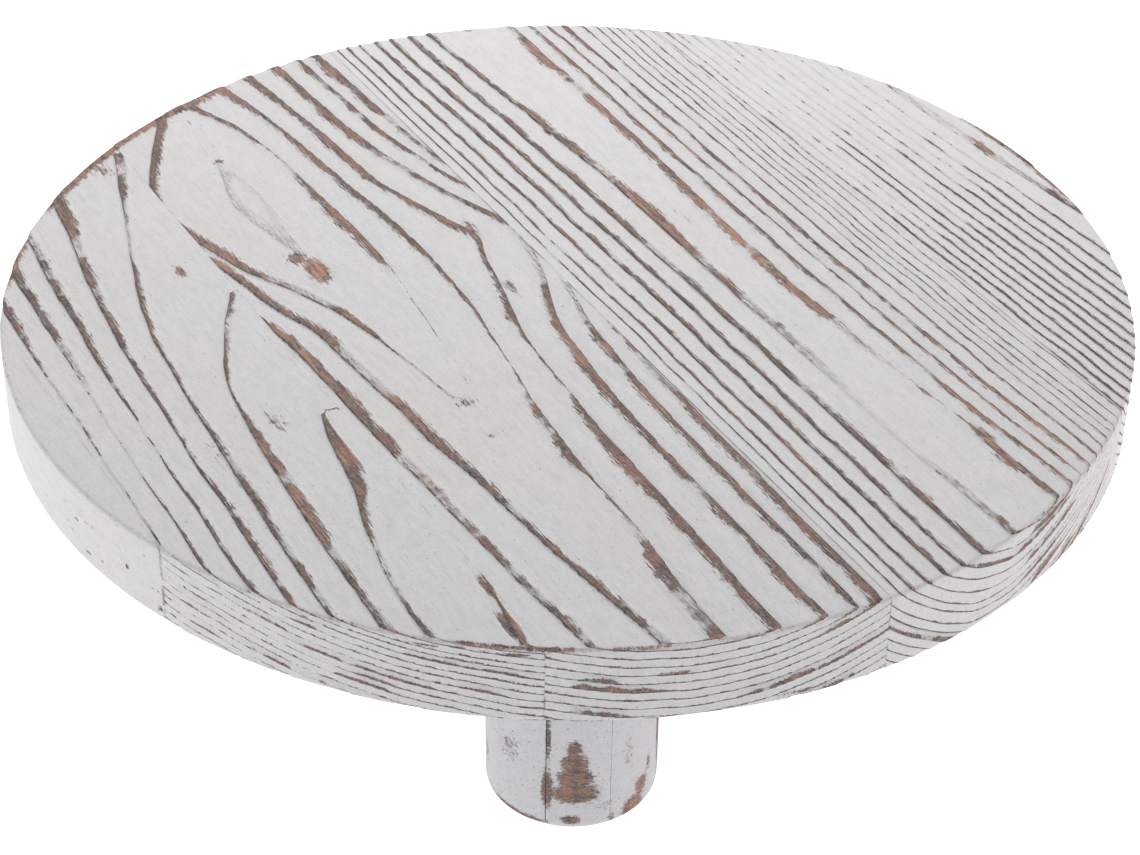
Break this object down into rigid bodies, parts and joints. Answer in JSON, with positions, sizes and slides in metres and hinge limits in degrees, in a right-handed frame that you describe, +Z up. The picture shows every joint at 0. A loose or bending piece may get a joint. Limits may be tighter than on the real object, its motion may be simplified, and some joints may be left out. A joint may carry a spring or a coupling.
{
  "type": "cake stand",
  "caption": "Round white-painted wooden cake stand: a thick disc of edge-glued boards, worn back to the grain, on short round laminated legs.",
  "frame": {"origin": "on the table, under the centre of the round top", "axes": "+Z up, -Y towards the front leg, +X to the right when that leg is in front"},
  "size_m": [0.3048, 0.3048, 0.087],
  "materials": {
    "painted_top": "matte white paint, worn off the raised grain to brown wood",
    "painted_leg": "matte white paint, worn to brown wood at the joints and edges",
    "felt": "dense brown wool felt",
    "screw_steel": "plain zinc-plated steel"
  },
  "bodies": {
    "root": {"top_board_left_edge": "painted_top", "top_board_left": "painted_top", "top_board_centre": "painted_top", "top_board_right": "painted_top", "top_board_right_edge": "painted_top", "front_leg_left_stave": "painted_leg", "front_leg_core_stave": "painted_leg", "front_leg_right_stave": "painted_leg", "right_leg_left_stave": "painted_leg", "right_leg_core_stave": "painted_leg", "right_leg_right_stave": "painted_leg", "left_leg_left_stave": "painted_leg", "left_leg_core_stave": "painted_leg", "left_leg_right_stave": "painted_leg", "front_leg_pad": "felt", "right_leg_pad": "felt", "left_leg_pad": "felt", "front_leg_screw": "screw_steel", "right_leg_screw": "screw_steel", "left_leg_screw": "screw_steel"}
  },
  "joints": []
}
